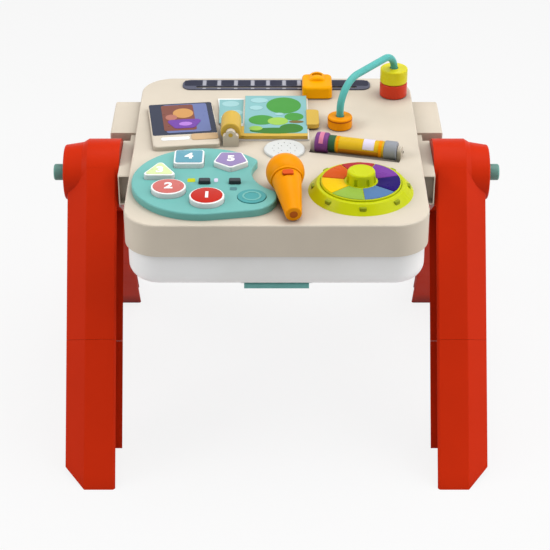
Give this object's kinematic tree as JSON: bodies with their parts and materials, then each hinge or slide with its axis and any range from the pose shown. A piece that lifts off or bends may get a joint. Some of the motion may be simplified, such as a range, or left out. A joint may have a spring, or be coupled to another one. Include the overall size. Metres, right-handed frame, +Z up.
{
  "type": "activity table",
  "caption": "Toddler's activity table: a shallow square play top with keys, spinner, slider, bead wire and toy microphone, hung between two leg frames.",
  "frame": {"origin": "on the floor, under the centre of the tabletop", "axes": "+Z up, -Y towards the child in front, +X to the child's right across both leg frames"},
  "size_m": [0.598, 0.554, 0.429],
  "materials": {
    "beige_plastic": "fine satin moulding",
    "white_plastic": "fine satin moulding",
    "red_plastic": "satin moulding",
    "teal_plastic": "smooth satin moulding",
    "orange_plastic": "smooth moulding",
    "lime_plastic": "smooth moulding",
    "green_plastic": "smooth moulding",
    "coral_plastic": "smooth moulding",
    "navy_plastic": "printed strip",
    "dark_plastic": "satin moulding",
    "screen_print": "glossy printed sheet",
    "disc_print": "glossy printed disc",
    "page_print": "glossy printed sheet",
    "yellow_plastic": "smooth moulding",
    "purple_plastic": "smooth moulding",
    "grey_plastic": "satin moulding",
    "steel": "plain steel",
    "rubber_dome": "moulded rubber",
    "board": "circuit board"
  },
  "bodies": {
    "table": {"top_shell": "beige_plastic", "bottom_shell": "white_plastic", "arm_left": "beige_plastic", "arm_right": "beige_plastic", "case_screws": "steel", "keypad_panel": "teal_plastic", "key_domes": "rubber_dome", "circuit_board": "board", "speaker": "dark_plastic", "speaker_grille": "white_plastic", "battery_box": "white_plastic", "battery_door": "white_plastic", "battery_cells": "steel", "battery_contacts": "steel", "disc_base": "lime_plastic", "roller_tray": "beige_plastic", "maze_wire": "teal_plastic", "wire_nuts": "steel", "slider_track": "navy_plastic", "tablet_case": "beige_plastic", "tablet_screen": "screen_print", "picture_base": "white_plastic", "hinge_brackets": "beige_plastic"},
    "round_key": {"key_1": "white_plastic"},
    "oval_key": {"key_2": "white_plastic"},
    "triangle_key": {"key_3": "white_plastic"},
    "square_key": {"key_4": "white_plastic"},
    "pentagon_key": {"key_5": "white_plastic"},
    "palette_key": {"flush_key": "teal_plastic"},
    "volume_slide": {"volume_switch": "dark_plastic"},
    "mode_slide": {"mode_switch": "dark_plastic"},
    "microphone": {"mic_head": "orange_plastic", "mic_handle": "orange_plastic"},
    "mic_press": {"mic_button": "coral_plastic"},
    "disc": {"colour_disc": "disc_print", "disc_knob": "lime_plastic", "disc_axle": "grey_plastic"},
    "roller": {"roller_body": "yellow_plastic", "roller_end_left": "purple_plastic", "roller_end_right": "grey_plastic", "roller_axle": "steel"},
    "front_bead": {"bead_orange": "orange_plastic"},
    "upper_bead": {"bead_green": "green_plastic"},
    "lower_bead": {"bead_red": "coral_plastic"},
    "slider": {"slider_knob": "orange_plastic", "slider_shoe": "dark_plastic"},
    "page": {"page_frame": "orange_plastic", "page_picture": "page_print"},
    "latch": {"front_latch": "teal_plastic"},
    "side_frame_left": {"frame_left": "red_plastic", "lower_leg_front_left": "red_plastic", "lower_leg_rear_left": "red_plastic", "release_spring_left": "steel"},
    "release_left": {"release_button_left": "teal_plastic"},
    "side_frame_right": {"frame_right": "red_plastic", "lower_leg_front_right": "red_plastic", "lower_leg_rear_right": "red_plastic", "release_spring_right": "steel"},
    "release_right": {"release_button_right": "teal_plastic"}
  },
  "joints": [
    {"name": "frame_left_pull", "type": "slide", "parent": "table", "child": "side_frame_left", "axis": [-1, 0, 0], "range_m": [0, 0.06]},
    {"name": "release_left_press", "type": "slide", "parent": "side_frame_left", "child": "release_left", "axis": [1, 0, 0], "range_m": [0, 0.005], "stiffness_N_per_m": 800, "springref_m": -0.005},
    {"name": "frame_right_pull", "type": "slide", "parent": "table", "child": "side_frame_right", "axis": [1, 0, 0], "range_m": [0, 0.06]},
    {"name": "release_right_press", "type": "slide", "parent": "side_frame_right", "child": "release_right", "axis": [-1, 0, 0], "range_m": [0, 0.005], "stiffness_N_per_m": 800, "springref_m": -0.005},
    {"name": "round_key_press", "type": "slide", "parent": "table", "child": "round_key", "axis": [0, 0, -1], "range_m": [0, 0.003], "stiffness_N_per_m": 500, "springref_m": -0.002},
    {"name": "oval_key_press", "type": "slide", "parent": "table", "child": "oval_key", "axis": [0, 0, -1], "range_m": [0, 0.003], "stiffness_N_per_m": 500, "springref_m": -0.002},
    {"name": "triangle_key_press", "type": "slide", "parent": "table", "child": "triangle_key", "axis": [0, 0, -1], "range_m": [0, 0.003], "stiffness_N_per_m": 500, "springref_m": -0.002},
    {"name": "square_key_press", "type": "slide", "parent": "table", "child": "square_key", "axis": [0, 0, -1], "range_m": [0, 0.003], "stiffness_N_per_m": 500, "springref_m": -0.002},
    {"name": "pentagon_key_press", "type": "slide", "parent": "table", "child": "pentagon_key", "axis": [0, 0, -1], "range_m": [0, 0.003], "stiffness_N_per_m": 500, "springref_m": -0.002},
    {"name": "palette_key_press", "type": "slide", "parent": "table", "child": "palette_key", "axis": [0, 0, -1], "range_m": [0, 0.002], "stiffness_N_per_m": 500, "springref_m": -0.002},
    {"name": "volume_switch_slide", "type": "slide", "parent": "table", "child": "volume_slide", "axis": [1, 0, 0], "range_m": [-0.005, 0.005]},
    {"name": "mode_switch_slide", "type": "slide", "parent": "table", "child": "mode_slide", "axis": [1, 0, 0], "range_m": [-0.005, 0.005]},
    {"name": "microphone_lift", "type": "slide", "parent": "table", "child": "microphone", "axis": [0, 0, 1], "range_m": [0, 0.08]},
    {"name": "mic_button_press", "type": "slide", "parent": "microphone", "child": "mic_press", "axis": [-0.0191, 0.1626, -0.9865], "range_m": [0, 0.0012], "stiffness_N_per_m": 400, "springref_m": -0.002},
    {"name": "disc_spin", "type": "hinge", "parent": "table", "child": "disc", "pos_m": [0.107, -0.125, 0.37], "axis": [0, 0, 1], "continuous": true},
    {"name": "roller_spin", "type": "hinge", "parent": "table", "child": "roller", "pos_m": [0.106, -0.015, 0.368], "axis": [0.9681, -0.2504, 0], "continuous": true},
    {"name": "front_bead_slide", "type": "slide", "parent": "table", "child": "front_bead", "axis": [0, 0, 1], "range_m": [0, 0.014]},
    {"name": "upper_bead_spin", "type": "hinge", "parent": "table", "child": "upper_bead", "pos_m": [0.1653, 0.1638, 0.391], "axis": [0, 0, 1], "continuous": true},
    {"name": "lower_bead_spin", "type": "hinge", "parent": "table", "child": "lower_bead", "pos_m": [0.1653, 0.1638, 0.37], "axis": [0, 0, 1], "continuous": true},
    {"name": "slider_move", "type": "slide", "parent": "table", "child": "slider", "axis": [1, 0, 0], "range_m": [-0.169, 0.054]},
    {"name": "page_turn", "type": "hinge", "parent": "table", "child": "page", "pos_m": [-0.061, 0.029, 0.377], "axis": [0, -1, 0], "range_deg": [0, 170]},
    {"name": "latch_swing", "type": "hinge", "parent": "table", "child": "latch", "pos_m": [0, -0.187, 0.2645], "axis": [1, 0, 0], "range_deg": [0, 20], "stiffness_Nm_per_rad": 0.2, "springref_deg": -17.19}
  ]
}
